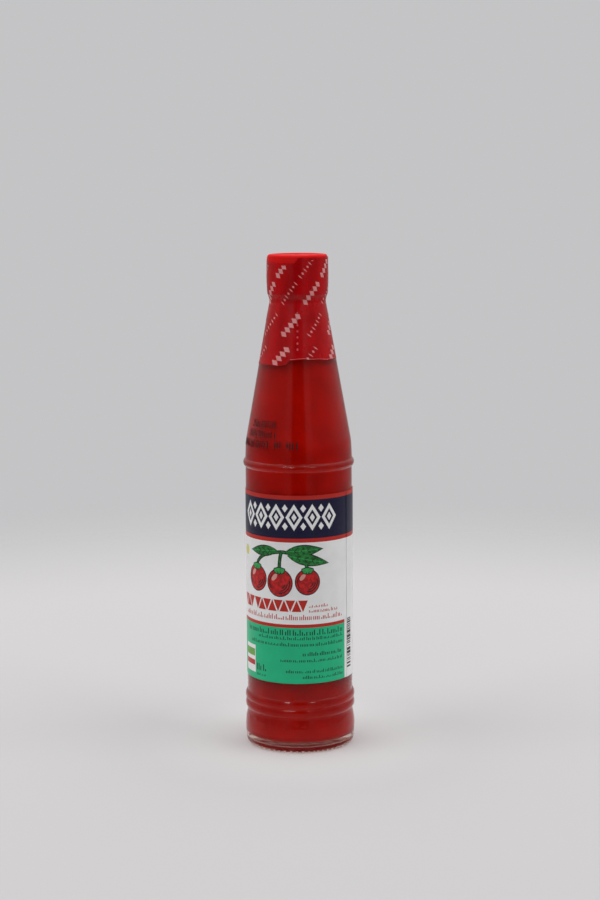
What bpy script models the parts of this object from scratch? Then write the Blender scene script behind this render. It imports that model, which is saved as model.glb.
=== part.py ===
"""Hot sauce bottle: a slim clear glass bottle of about 88 ml, full of red sauce.

Five nodes stand on one axis: the glass, the sauce in it, the screw cap, the shrink band
over cap and neck, and the paper label that is wrapped round the body.
The origin is the middle of the foot, +Z is up, and the front looks along -Y.
Angles round the bottle are counted from the front, and grow towards +X.
"""

import math

import bmesh
import bpy

MM = 0.001  # sizes below are in millimetres, and meshes are in metres
SEGMENTS = 48  # sides of every turned piece
MERGE_DISTANCE = 0.001
SHARP_ANGLE = 35.0  # in degrees: a steeper edge is shaded sharp

# Whole bottle
TOTAL_HEIGHT = 160.0
BODY_RADIUS = 17.25
WALL = 1.8
GAP = 0.3  # kept between the sauce, the glass neck and the cap

# Foot: a flat ring, a small corner and a heel that bulges
FOOT_INNER_RADIUS = 14.3
FOOT_OUTER_RADIUS = 16.1
PUNT_HEIGHT = 1.9  # how far the underside is pushed up at the axis
PUNT_CURVE = ((0.55, 0.86), (0.9, 0.3))  # shares of the ring's inner radius and of the height
HEEL_BULGE_RADIUS = 18.0
HEEL_BULGE_HEIGHT = 5.6
HEEL_CURVE = 19.5  # radius of the heel's curve, seen from the side
HEEL_BOTTOM = 1.6
HEEL_TOP = 10.75

# Beads pressed round the glass
BEAD_RADIUS = 17.97
FOOT_BEAD_HEIGHTS = (13.15, 15.95)
FOOT_BEAD_CURVE = 2.4
SHOULDER_BEAD_HEIGHT = 93.05
SHOULDER_BEAD_CURVE = 1.75

# Shoulder, cone and neck
SHOULDER_START = 94.5
SHOULDER_START_RADIUS = 17.33
SHOULDER_CORNER = 100.0
SHOULDER_CORNER_RADIUS = 17.08
SHOULDER_ROUNDING = 1.8  # how far the rounding reaches from the corner, along the wall
CONE_TOP = 145.0
CONE_TOP_RADIUS = 9.0
NECK_RADIUS = 8.1
NECK_START = 146.3
MOUTH_HEIGHT = 158.3
BORE_RADIUS = 5.3
BORE_START = 149.0
LIP_ROUNDING = 0.6

# Inside of the bottle
FLOOR_HEIGHT = 3.1
FLOOR_MIDDLE_HEIGHT = 5.0
FLOOR_CORNER = 2.0
SAUCE_LEVEL = 150.0  # the air above it is hidden by the cap

# Screw cap
CAP_RADIUS = 9.6
CAP_BOTTOM = 147.5
CAP_TOP_THICKNESS = 1.2
CAP_CORNER = 0.8
CAP_LIP = 0.25  # the skirt narrows by this much at its lower edge
CAP_LIP_STEPS = (0.3, 1.0, 1.5)  # heights above the skirt's edge where its slope changes

# Shrink band: thin film that hugs the cap and the cone
BAND_GAP = 0.08
BAND_THICKNESS = 0.16
BAND_TOP_LOW = 157.8
BAND_TOP_HIGH = 159.1
BAND_TOP_DIP = (-95.0, 0.0)  # the stretch of the rim that sits low, in degrees
BAND_FOOT_LOW = 125.0
BAND_FOOT_HIGH = 127.8
BAND_FOOT_DIP = (-150.0, -16.0)
BAND_STEP_SPREAD = 9.0  # degrees over which the rim and the foot change height
NECK_FILM_RADIUS = 9.1  # where the film turns out from the cone towards the cap
NECK_FILM_HEIGHT = 145.9

# Wrapped paper label
LABEL_BOTTOM = 23.2
LABEL_TOP = 84.5
LABEL_GAP = 0.05
LABEL_THICKNESS = 0.1
LAP = (60.5, 94.0)  # the angles between which the label's end lies on its start
LAP_LIFT = 0.14


def clear_scene():
    for obj in list(bpy.data.objects):
        bpy.data.objects.remove(obj, do_unlink=True)


def make_material(name, colour, roughness, alpha=1.0, transmission=0.0):
    material = bpy.data.materials.new(name)
    material.use_nodes = True
    shader = material.node_tree.nodes["Principled BSDF"]
    shader.inputs["Base Color"].default_value = (*colour, 1.0)
    shader.inputs["Roughness"].default_value = roughness
    shader.inputs["Metallic"].default_value = 0.0
    shader.inputs["Alpha"].default_value = alpha
    shader.inputs["Transmission Weight"].default_value = transmission
    material.diffuse_color = (*colour, alpha)
    return material


def arc(centre, radius, start, end, steps):
    """Points of an arc in the (radius, height) plane. Angles are in degrees from straight outwards."""
    points = []
    for step in range(steps + 1):
        angle = math.radians(start + (end - start) * step / steps)
        points.append((centre[0] + radius * math.cos(angle), centre[1] + radius * math.sin(angle)))
    return points


def bead(height, curve, base_below, base_above, steps=6):
    """A half-round bead from the wall of radius base_below up to the wall of radius base_above."""
    middle = BEAD_RADIUS - curve
    start = -math.degrees(math.acos((base_below - middle) / curve))
    end = math.degrees(math.acos((base_above - middle) / curve))
    return arc((middle, height), curve, start, end, steps)


def bent(before, corner, after, reach, steps=3):
    """A corner between two straight walls, rounded by a curve that starts and ends reach away from it."""
    first = [(b - c) for b, c in zip(before, corner)]
    last = [(a - c) for a, c in zip(after, corner)]
    start = [c + d * reach / math.hypot(*first) for c, d in zip(corner, first)]
    end = [c + d * reach / math.hypot(*last) for c, d in zip(corner, last)]
    points = []
    for step in range(steps + 1):
        t = step / steps
        points.append(
            tuple((1 - t) ** 2 * s + 2 * t * (1 - t) * c + t * t * e for s, c, e in zip(start, corner, end))
        )
    return points


def cone_radius(height):
    """Outer radius of the glass on the straight cone above the shoulder."""
    share = (height - SHOULDER_CORNER) / (CONE_TOP - SHOULDER_CORNER)
    return SHOULDER_CORNER_RADIUS + (CONE_TOP_RADIUS - SHOULDER_CORNER_RADIUS) * share


def glass_outside():
    """The outer wall from the foot's ring to the mouth, as (radius, height)."""
    heel_middle = (HEEL_BULGE_RADIUS - HEEL_CURVE, HEEL_BULGE_HEIGHT)
    low_turn = math.degrees(math.asin((HEEL_BOTTOM - HEEL_BULGE_HEIGHT) / HEEL_CURVE))
    high_turn = math.degrees(math.asin((HEEL_TOP - HEEL_BULGE_HEIGHT) / HEEL_CURVE))
    heel = arc(heel_middle, HEEL_CURVE, low_turn, high_turn, steps=6)
    foot_corner = (heel[0][0], 0.0)
    low, high = FOOT_BEAD_HEIGHTS
    middle = BEAD_RADIUS - FOOT_BEAD_CURVE
    half_pitch = (high - low) / 2
    valley = middle + math.sqrt(FOOT_BEAD_CURVE**2 - half_pitch**2)
    shoulder = bent(
        (SHOULDER_START_RADIUS, SHOULDER_START),
        (SHOULDER_CORNER_RADIUS, SHOULDER_CORNER),
        (CONE_TOP_RADIUS, CONE_TOP),
        SHOULDER_ROUNDING,
    )
    return [
        (FOOT_INNER_RADIUS, 0.0),
        *bent((0.0, 0.0), foot_corner, heel[0], foot_corner[0] - FOOT_OUTER_RADIUS),
        *heel,
        *bead(low, FOOT_BEAD_CURVE, heel[-1][0], valley),
        *bead(high, FOOT_BEAD_CURVE, valley, BODY_RADIUS)[1:],
        *bead(SHOULDER_BEAD_HEIGHT, SHOULDER_BEAD_CURVE, BODY_RADIUS, SHOULDER_START_RADIUS),
        *shoulder,
        (CONE_TOP_RADIUS, CONE_TOP),
        (NECK_RADIUS, NECK_START),
        (NECK_RADIUS, MOUTH_HEIGHT - LIP_ROUNDING),
        (NECK_RADIUS - LIP_ROUNDING, MOUTH_HEIGHT),
    ]


def glass_inside(inset=0.0):
    """The inner wall from the floor's middle to the mouth, moved towards the sauce by inset."""
    wall = BODY_RADIUS - WALL - inset
    floor = FLOOR_HEIGHT + inset
    cone_foot = (wall, SHOULDER_CORNER - WALL)
    cone_top = (CONE_TOP_RADIUS - WALL - inset, CONE_TOP - WALL)
    return [
        (0.0, FLOOR_MIDDLE_HEIGHT + inset),
        *bent((0.0, floor), (wall, floor), (wall, MOUTH_HEIGHT), FLOOR_CORNER, steps=5),
        *bent((wall, floor), cone_foot, cone_top, SHOULDER_ROUNDING),
        cone_top,
        (BORE_RADIUS - inset, BORE_START),
        (BORE_RADIUS - inset, MOUTH_HEIGHT - LIP_ROUNDING),
        (BORE_RADIUS - inset + LIP_ROUNDING, MOUTH_HEIGHT),
    ]


def glass_outline():
    """The cut through one wall: the pushed-up underside, the outside going up and the inside coming down."""
    underside = [(FOOT_INNER_RADIUS * share, PUNT_HEIGHT * rise) for share, rise in PUNT_CURVE]
    return [(0.0, PUNT_HEIGHT), *underside, *glass_outside(), *reversed(glass_inside())]


def sauce_outline():
    """The sauce fills the bottle up into the neck."""
    inside = [point for point in glass_inside(GAP) if point[1] < SAUCE_LEVEL]
    return [*inside, (BORE_RADIUS - GAP, SAUCE_LEVEL), (0.0, SAUCE_LEVEL)]


def cap_skirt():
    """The lower part of the cap's outer wall, where it narrows in two steps."""
    edge, groove, wall = CAP_LIP_STEPS
    return [
        (CAP_RADIUS - CAP_LIP, CAP_BOTTOM),
        (CAP_RADIUS - CAP_LIP / 2, CAP_BOTTOM + edge),
        (CAP_RADIUS - CAP_LIP / 2, CAP_BOTTOM + groove),
        (CAP_RADIUS, CAP_BOTTOM + wall),
    ]


def cap_outline():
    """A cup turned over the neck: the neck's room inside is closed at the top."""
    inner = NECK_RADIUS + GAP
    ceiling = TOTAL_HEIGHT - CAP_TOP_THICKNESS
    corner = arc((CAP_RADIUS - CAP_CORNER, TOTAL_HEIGHT - CAP_CORNER), CAP_CORNER, 0.0, 90.0, 4)
    return [(inner, CAP_BOTTOM), *cap_skirt(), *corner, (0.0, TOTAL_HEIGHT), (0.0, ceiling), (inner, ceiling)]


def turned_away(angle):
    """The same angle, from -180 up to 180 degrees."""
    return (angle + 180.0) % 360.0 - 180.0


def smooth_step(value):
    value = min(1.0, max(0.0, value))
    return value * value * (3.0 - 2.0 * value)


def share_inside(angle, stretch, spread):
    """1 inside the stretch of angles, 0 outside it, and a smooth change over spread degrees at its ends."""
    angle = turned_away(angle)
    rise = smooth_step((angle - stretch[0]) / spread + 0.5)
    fall = smooth_step((stretch[1] - angle) / spread + 0.5)
    return rise * fall


def band_outline(angle):
    """The film's cut at one angle: it drapes from the cap's skirt to the cone, and its two ends wander."""
    top_share = share_inside(angle, BAND_TOP_DIP, BAND_STEP_SPREAD)
    foot_share = share_inside(angle, BAND_FOOT_DIP, BAND_STEP_SPREAD)
    top = BAND_TOP_HIGH + (BAND_TOP_LOW - BAND_TOP_HIGH) * top_share
    foot = BAND_FOOT_HIGH + (BAND_FOOT_LOW - BAND_FOOT_HIGH) * foot_share
    path = [
        (cone_radius(foot), foot),
        (CONE_TOP_RADIUS, CONE_TOP),
        (NECK_FILM_RADIUS, NECK_FILM_HEIGHT),
        *cap_skirt(),
        (CAP_RADIUS, top),
    ]
    inner = [(radius + BAND_GAP, height) for radius, height in path]
    outer = [(radius + BAND_THICKNESS, height) for radius, height in reversed(inner)]
    return inner + outer


def label_outline(angle):
    """The label's cut at one angle: a plain strip, and double where its end lies on its start."""
    inner = BODY_RADIUS + LABEL_GAP
    lift = LAP_LIFT if LAP[0] < angle < LAP[1] else 0.0
    outer = inner + LABEL_THICKNESS + lift
    return [(inner, LABEL_BOTTOM), (inner, LABEL_TOP), (outer, LABEL_TOP), (outer, LABEL_BOTTOM)]


def place(radius, angle, height):
    """A point on the bottle, in metres, from its radius, its angle from the front and its height."""
    turn = math.radians(angle)
    return (radius * math.sin(turn) * MM, -radius * math.cos(turn) * MM, height * MM)


def add_object(name, mesh_builder, material):
    """Turns a finished bmesh into a named object, with its faces pointing out and shaded smooth."""
    bmesh.ops.remove_doubles(mesh_builder, verts=mesh_builder.verts, dist=MERGE_DISTANCE * MM)
    bmesh.ops.recalc_face_normals(mesh_builder, faces=mesh_builder.faces)
    mesh = bpy.data.meshes.new(name)
    mesh_builder.to_mesh(mesh)
    mesh_builder.free()
    mesh.materials.append(material)
    mesh.shade_smooth()
    mesh.set_sharp_from_angle(angle=math.radians(SHARP_ANGLE))
    obj = bpy.data.objects.new(name, mesh)
    bpy.context.scene.collection.objects.link(obj)
    return obj


def add_loop(mesh_builder, points, angle):
    """A closed outline as an edge loop, standing in the plane through the axis at that angle."""
    verts = [mesh_builder.verts.new(place(radius, angle, height)) for radius, height in points]
    pairs = zip(verts, verts[1:] + verts[:1])
    return verts, [mesh_builder.edges.new(pair) for pair in pairs]


def add_turned(name, points, material):
    """A solid of revolution, spun from its closed outline."""
    mesh_builder = bmesh.new()
    verts, edges = add_loop(mesh_builder, points, 0.0)
    on_axis = {vert for vert, point in zip(verts, points) if point[0] == 0.0}
    for edge in edges:
        if set(edge.verts) <= on_axis:
            mesh_builder.edges.remove(edge)
    bmesh.ops.spin(
        mesh_builder,
        geom=mesh_builder.verts[:] + mesh_builder.edges[:],
        cent=(0.0, 0.0, 0.0),
        axis=(0.0, 0.0, 1.0),
        angle=2.0 * math.pi,
        steps=SEGMENTS,
        use_merge=True,
    )
    return add_object(name, mesh_builder, material)


def add_wrapped(name, outline_at, material):
    """A thin closed ring whose cut changes with the angle, bridged from one cut to the next."""
    mesh_builder = bmesh.new()
    cuts = []
    for number in range(SEGMENTS):
        angle = 360.0 * number / SEGMENTS
        cuts.append(add_loop(mesh_builder, outline_at(angle), angle)[1])
    for edges, following in zip(cuts, cuts[1:] + cuts[:1]):
        bmesh.ops.bridge_loops(mesh_builder, edges=edges + following)
    return add_object(name, mesh_builder, material)


def main():
    clear_scene()
    clear_glass = make_material("clear_glass", (0.93, 0.96, 0.95), 0.03, alpha=0.35, transmission=1.0)
    red_sauce = make_material("red_sauce", (0.30, 0.008, 0.004), 0.35)
    red_plastic = make_material("red_plastic", (0.62, 0.012, 0.012), 0.32)
    red_film = make_material("red_film", (0.45, 0.01, 0.015), 0.22, alpha=0.8)
    coated_paper = make_material("coated_paper", (0.78, 0.78, 0.77), 0.4)
    add_turned("glass_bottle", glass_outline(), clear_glass)
    add_turned("hot_sauce", sauce_outline(), red_sauce)
    add_turned("screw_cap", cap_outline(), red_plastic)
    add_wrapped("shrink_band", band_outline, red_film)
    add_wrapped("wrap_label", label_outline, coated_paper)


main()
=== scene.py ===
"""Hot sauce bottle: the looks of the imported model, and a plain pale studio round it.

The bottle stands on z = 0 with its axis on the origin, and its front faces -Y.
Shape numbers are in millimetres, and MM turns them into Blender's metres.
Angles round the bottle are in degrees from the front, growing towards +X.
"""

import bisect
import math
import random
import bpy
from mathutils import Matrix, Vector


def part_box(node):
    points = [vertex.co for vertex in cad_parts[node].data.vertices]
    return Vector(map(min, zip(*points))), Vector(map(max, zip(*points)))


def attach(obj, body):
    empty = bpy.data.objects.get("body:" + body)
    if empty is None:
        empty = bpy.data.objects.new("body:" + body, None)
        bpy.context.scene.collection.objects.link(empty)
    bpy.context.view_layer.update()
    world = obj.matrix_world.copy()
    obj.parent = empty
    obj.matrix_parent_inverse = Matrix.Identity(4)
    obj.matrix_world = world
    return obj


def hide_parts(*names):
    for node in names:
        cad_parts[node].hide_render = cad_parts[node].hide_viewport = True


bl_info = {
    "name": "Hot Sauce Bottle",
    "version": (1, 0, 0),
    "blender": (4, 5, 0),
    "location": "View3D > Sidebar > Sauce Bottle",
    "description": "Builds a filled sauce bottle with its cap, film and printed label in a pale studio",
    "category": "Object",
}

import bpy
from bpy.props import FloatProperty, FloatVectorProperty, PointerProperty
from mathutils import Matrix, Vector

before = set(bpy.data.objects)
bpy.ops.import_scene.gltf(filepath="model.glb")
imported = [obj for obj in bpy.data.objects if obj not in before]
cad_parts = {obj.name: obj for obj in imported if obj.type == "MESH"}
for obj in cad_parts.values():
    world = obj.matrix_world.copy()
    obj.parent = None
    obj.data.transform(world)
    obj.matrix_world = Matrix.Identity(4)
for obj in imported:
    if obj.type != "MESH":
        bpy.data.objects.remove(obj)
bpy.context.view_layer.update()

BODY = "root"
MM = 0.001
WELD = 0.0005 * MM
TURN_STEPS = 256
STAND_UP = math.pi / 2
SMOOTH_ANGLE = math.radians(40.0)

# Heights that the frame gives
TOTAL_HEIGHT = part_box("screw_cap")[1].z / MM
CAP_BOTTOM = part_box("screw_cap")[0].z / MM
CAP_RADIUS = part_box("screw_cap")[1].x / MM
MOUTH_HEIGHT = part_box("glass_bottle")[1].z / MM
SAUCE_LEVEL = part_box("hot_sauce")[1].z / MM
LABEL_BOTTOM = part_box("wrap_label")[0].z / MM
LABEL_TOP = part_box("wrap_label")[1].z / MM
LABEL_RADIUS = -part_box("wrap_label")[0].x / MM

# Glass, from the foot up
FOOT_RING = (14.3, 16.1)
PUNT_HEIGHT = 1.9
PUNT_CURVE = ((0.3, 0.97), (0.55, 0.86), (0.78, 0.58), (0.9, 0.3), (0.97, 0.08))
HEEL_BULGE = (18.0, 5.6)
HEEL_CURVE = 19.5
HEEL_SPAN = (1.6, 10.75)
BEAD_RADIUS = 17.97
FOOT_BEADS = (13.15, 15.95)
FOOT_BEAD_CURVE = 2.4
SHOULDER_BEAD = 93.05
SHOULDER_BEAD_CURVE = 1.75
SHOULDER_START = (17.33, 94.5)
SHOULDER_CORNER = (17.08, 100.0)
SHOULDER_ROUNDING = 1.8
CONE_TOP = (9.0, 145.0)
NECK = (8.1, 146.3)
BORE = (5.3, 149.0)
LIP_ROUNDING = 0.6
FLOOR_HEIGHT = 3.1
FLOOR_MIDDLE_HEIGHT = 5.0
FLOOR_CORNER = 2.0

# Marks pressed into the glass
STIPPLE_GROOVES = (1, 2, 2)
STIPPLE_RIDGES = (2, 2, 3)
STIPPLE_DEPTH = 0.16
STIPPLE_TOP = 1.0
SEAM_SPAN = (2.1, 2.45)
SEAM_RISE = 0.08
SEAM_EASE = 0.05
SEAM_FOOT = 0.06
RELIEF_HEIGHT = 0.2
RELIEF_SPAN = (8.3, 10.2)
RELIEF_WALL = 17.0
RELIEF_ANGLES = (-70.0, 42.0)
RELIEF_WIDTH = 2.9
RELIEF_PITCHES = (7.0, 9.0, 14.0)
RELIEF_LIFT = 1.1
RELIEF_LENGTHS = (0.35, 0.7)

# Glass as a finish. Its foot is tinted warmer, and the tint fades out between two heights.
GLASS_IOR = 1.5
FOOT_TINT = (0.80, 0.62, 0.52, 1.0)
FOOT_TINT_SPAN = (3.0, 6.5)
ROUGH_TINT = (0.95, 0.78, 0.70, 1.0)

# Painted glow in the sauce near the foot, standing in for light that spreads through it from below,
# and the gloss and the stronger painted glow of its underside
PAINTED_GLOW_TOP = 9.0
SAUCE_PAINTED_GLOW = 0.1
UNDER_SHINE = 1.0
UNDER_PAINTED_GLOW = 0.13

# Screw cap: its dish and the moulding mark in it each have a radius and a depth
CAP_CLEARANCE = 0.3
CAP_ROOF = 1.2
CAP_CORNER = 0.8
CAP_LIP = 0.12
CAP_LIP_STEPS = (0.3, 1.0, 1.5)
CAP_DISH = (7.2, 0.25)
CAP_DISH_SLOPE = 0.2
CAP_GATE = (0.9, 0.2)

# Shrink film: height and outer radius over the cap, then its two wandering rims
FILM_OVER_CAP = (
    (145.0, 9.06), (146.0, 9.18), (146.8, 9.42), (147.5, 9.71), (148.4, 9.79),
    (150.0, 9.87), (153.3, 9.95), (156.0, 9.9), (158.6, 9.86),
)
FILM_CLEARANCE = 0.1
FILM_START = 120.0
FILM_PATH_STEPS = 200
FILM_SHOULDER = 0.85
FILM_TURN_IN = FILM_SHOULDER * 1.6
FILM_FOOT = 126.5
FILM_FOOT_DROP = 1.6
FILM_FOOT_DIP = (-150.0, -16.0)
FILM_FOOT_LEAN = 0.6
FILM_RIM_DROP = 1.6
FILM_RIM_DIP = (-95.0, -2.0)
FILM_STEP_SPREAD = 9.0
FILM_COLUMNS = 360
FILM_ROWS = 90

# Tear lines: a hole's half width in degrees and its share of the pitch, and half an oval of painted
# highlight beside each hole
TEAR_ANGLES = (-0.5, 179.5)
TEAR_SPAN = (129.5, 143.0)
TEAR_PITCH = 1.9
TEAR_HOLE = (0.9, 0.3)
TEAR_HIGHLIGHT = (0.34, 0.42)

# Painted highlight: a pale line along the film's cut edge, where light catches it: its angles, and how far
# above the rim it starts and ends
FILM_EDGE_HIGHLIGHT = (-12, 72)
FILM_EDGE_LINE = (0.22, 0.42)
FILM_EDGE_STEPS = 60

# Label: where its end laps over its start, and the heights of its printed bands
LAP = (60.5, 94.0)
LAP_LIFT = 0.14
LAP_EASE = 9.0
LABEL_COLUMNS = 220
BAND_LINES = (83.2, 70.7, 69.4)
PANEL_LINES = (42.7, 41.6)
PANEL_SIDES = (-118.0, 56.5)

# Prints. Each layer of ink lies a step above the last, and each shape on it a small share of that step
# above the shape before. Ink reaches down through the layer below it. A wide print is cut into strips to
# follow the curve.
FRONT = -15.0
INK_STEP = 0.014
INK_REACH = 1.6
SHAPE_STEP = 0.02
STRIP = 0.6
FILM_RADIUS = 10.5
DATE_RADIUS = 15.8

# Ornament on the navy band: angle of its middle and number of units. A unit is an open lozenge with a
# small one inside it, and two more lie between one unit and the next. Sizes are half widths and heights.
ORNAMENTS = ((-15.0, 6), (165.0, 4))
ORNAMENT_PITCH = 5.9
ORNAMENT_MIDDLE = 77.5
LOZENGE = (2.75, 4.3)
LOZENGE_RIM = 0.95
LOZENGE_HEART = (0.85, 1.35)
LOZENGE_BETWEEN = (0.95, 1.3)
LOZENGE_OFFSET = 2.9

# Rows of small marks in place of print: left and right angle, low and high edge, size of a mark
DARK_GREEN_ROWS = (
    (-69, 52, 39.1, 40.9, 0.36),
    (-49, 52, 37.6, 38.7, 0.28),
    (-63, 52, 35.5, 36.7, 0.28),
    (3, 52, 32.3, 33.6, 0.32),
    (-21, 52, 30.3, 31.4, 0.28),
    (-15, 52, 26.7, 27.8, 0.28),
    (3, 52, 24.8, 25.9, 0.28),
    (-53, -39, 26.4, 28.6, 0.44),
    (-53, -39, 24.7, 25.4, 0.24),
)
RED_ROWS = (
    (10, 31, 48.2, 49.3, 0.26),
    (10, 44, 46.6, 47.8, 0.26),
    (-74, 52, 44.2, 45.9, 0.30),
    (106, 150, 64.0, 66.2, 0.44),
)
# Rows of dots on the glass, whose marks are all of one size
DATE_ROWS = (
    (-64, -24, 105.6, 107.9),
    (-70, -25, 102.4, 104.7),
    (-84, -33, 99.1, 101.5),
    (-27, -18, 99.1, 101.5),
    (-13, -1, 99.1, 101.5),
)
DATE_MARK = 0.42
# How many marks stand together in a row, by chance
MARK_GROUPS = (2, 3, 4, 5, 6, 7)

# Marks of one column in a row of small marks, from its foot up: a bar of some length, or dots
BAR_PATTERNS = ("##.", "##.", "###", "##.", "#..")
DOT_PATTERNS = ("#####", "####.", "#####", ".####", "##.##", "#####")

# Back of the label, which the photograph doesn't show: left and right angle, low and high edge
BACK_PARAGRAPHS = ((104, 182, 46.0, 62.0), (104, 182, 27.0, 43.0))
BACK_MARK = 0.28
LINE_PITCH = 2.3
LINE_HEIGHT = 1.1
LAST_LINE_SHORTER = 14
BACK_TABLE = (190, 234, 27.0, 66.0)
TABLE_ROW = 3.25
TABLE_RULE = 0.16
TABLE_ENTRIES = (14, 18, 23)
TABLE_LAST_COLUMN = 11.5

# Other shapes: left and right angle, low edge and height
WHITE_BOX = (-77, -55.5, 25.3, 9.0)
GREEN_STRIPE = (-77, -56.5, 30.6, 2.4)
RED_STRIPE = (-77, -56.5, 27.6, 1.7)
YELLOW_SPOT = (-73, 65.1)
YELLOW_SPOT_SIZE = (1.5, 1.7)

# Bold triangles in place of a heading: left and right angle of each row, then its heights, and a triangle's
# half width and pitch
FRIEZES = ((-82.0, -58.0), (-54.0, 7.0))
FRIEZE_HEIGHTS = (46.9, 50.6)
TRIANGLE = (1.55, 2.05)

# Level bars on the lap: left and right angle, low and high edge
BARCODE = (61.0, 70.0, 26.3, 42.4)
BAR_THICKNESSES = (0.2, 0.35, 0.55, 0.9)
BAR_GAPS = (0.22, 0.3, 0.55)

# Picture: three round peppers on a twig, each with the middle and radius of its fruit. Each leaf has its
# base, tip and half width, and each hatch its share of the fruit's radius and its two angles.
PEPPERS = ((-10.9, 57.0, 3.9), (-2.0, 56.2, 4.1), (7.2, 56.6, 3.8))
PEPPER_TALLNESS = 1.06
PEPPER_OUTLINE = 0.32
TWIG = (-1.0, 66.3)
LEAVES = (
    ((0.0, 66.4), (12.2, 67.2), 1.6),
    ((0.6, 65.2), (14.2, 62.4), 1.7),
    ((-2.4, 66.6), (-13.6, 65.8), 1.5),
)
HATCHES = ((0.84, -95.0, 15.0), (0.66, -80.0, -5.0), (0.47, -65.0, -15.0), (0.84, 140.0, 215.0))

# Marks on the film: height of each row, and the angle of its first bold mark. A mark is a slanted chain of
# lozenges: how many lie each side of its middle, their pitch, and the sizes that they take by turns.
FILM_MARK_ROWS = ((156.4, -26.0), (148.0, -62.0), (138.0, -12.0), (127.6, -30.0))
FILM_MARKS_ROUND = 8
FILM_MARK_SLANT = 51.0
BOLD_CHAIN = (2, 1.8, ((0.88, 1.3), (0.88, 1.3)))
THIN_CHAIN = (3, 1.35, ((0.38, 0.55), (0.2, 1.0)))
# Level cuts through the marks: the lowest, the pitch and the number
FILM_LEVELS = (124.0, 0.4, 90)
# How far inside the lower and the upper rim the marks stop
FILM_MARGINS = (0.2, 0.15)

# Brightness round the room, from the camera's side at 0 to behind the bottle at 1: level, and high up
ROOM_SIDES = (
    (0.0, 0.04), (0.07, 0.04), (0.11, 0.85), (0.15, 0.85),
    (0.2, 0.55), (0.32, 0.55), (0.6, 0.95), (1.0, 1.0),
)
ROOM_HIGH_SIDES = ((0.0, 0.55), (0.2, 0.65), (0.45, 1.25), (0.7, 1.15), (1.0, 0.9))
ROOM_HIGH_SPAN = (0.55, 0.85)
# Brightness from straight below at 0 through the horizon at 0.5 to straight above at 1
ROOM_ABOVE = ((0.0, 0.2), (0.48, 0.2), (0.52, 0.3), (0.65, 0.4), (0.85, 0.75), (1.0, 0.75))
ROOM_BOOST = 1.6

# Table, in metres. Painted shade makes it darker in front than behind, and painted light makes it paler
# round the bottle's foot, where it thins the bottle's shadow as a bright photo studio would. Its edge fades
# out.
TABLE_RADIUS = 0.8
TABLE_DEPTHS = (-0.22, 0.22)
TABLE_PAINTED_SHADE_TONES = (0.93, 1.07)
TABLE_PAINTED_LIGHT = 1.16
TABLE_PAINTED_LIGHT_SPAN = (0.016, 0.06)
TABLE_FADE_SPAN = (0.22, 0.47)


def number_property(name, description, default, unit="LENGTH"):
    return FloatProperty(name=name, description=description, default=default, unit=unit)


def size_property(name, description, width, height):
    return FloatVectorProperty(
        name=name, description=description, default=(width, height), size=2, unit="LENGTH"
    )


def colour_property(name, description, *colour):
    return FloatVectorProperty(
        name=name, description=description, default=colour, subtype="COLOR", min=0.0, max=1.0
    )


class BottleSizes(bpy.types.PropertyGroup):
    """Sizes that change the pieces without moving them."""

    body_radius: number_property("Body radius", "Outer radius of the straight glass", 17.25 * MM)
    wall: number_property("Wall", "Thickness of the glass", 1.8 * MM)
    sauce_overlap: number_property("Sauce overlap", "How far the sauce reaches into the glass", 0.06 * MM)
    film: number_property("Film", "Thickness of the shrink film", 0.06 * MM)
    paper: number_property("Paper", "Thickness of the label", 0.1 * MM)
    ink: number_property("Ink", "Thickness of one printed layer", 0.012 * MM)


class BottleColours(bpy.types.PropertyGroup):
    """Base colours of the finishes."""

    glass: colour_property("Glass", "Clear glass, faintly green", 0.96, 0.985, 0.97)
    sauce: colour_property("Sauce", "Red sauce behind the glass", 0.40, 0.004, 0.001)
    cap: colour_property("Cap", "Bright red moulded plastic", 0.74, 0.010, 0.010)
    film: colour_property("Film", "Red shrink film", 0.50, 0.003, 0.006)
    film_mark: colour_property("Film marks", "Pale marks printed on the film", 0.76, 0.30, 0.30)
    # Painted highlight: pale red for the line along the film's edge and the ovals beside its tear holes
    film_highlight: colour_property("Film edge", "Cut and stretched film", 0.72, 0.10, 0.11)
    paper: colour_property("Paper", "White coated paper", 0.88, 0.88, 0.88)
    navy: colour_property("Navy", "Broad band at the label's top", 0.010, 0.009, 0.040)
    red: colour_property("Red", "Lines and headings", 0.52, 0.022, 0.014)
    green: colour_property("Green", "Lower panel", 0.012, 0.50, 0.235)
    dark_green: colour_property("Dark green", "Rows of small print on the green", 0.004, 0.060, 0.030)
    leaf: colour_property("Leaf", "Leaves in the picture", 0.020, 0.24, 0.045)
    pepper: colour_property("Pepper", "Fruits in the picture", 0.62, 0.014, 0.016)
    crown: colour_property("Crown", "Bright green caps of the fruits", 0.045, 0.42, 0.10)
    shine: colour_property("Shine", "Pale spots on the fruits", 0.75, 0.35, 0.30)
    stripe: colour_property("Stripe", "Yellow-green stripe of the small box", 0.16, 0.42, 0.07)
    yellow: colour_property("Yellow", "Small round spot", 0.72, 0.70, 0.16)
    black: colour_property("Black", "Outlines, bars and the dotted code", 0.012, 0.010, 0.010)


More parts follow.
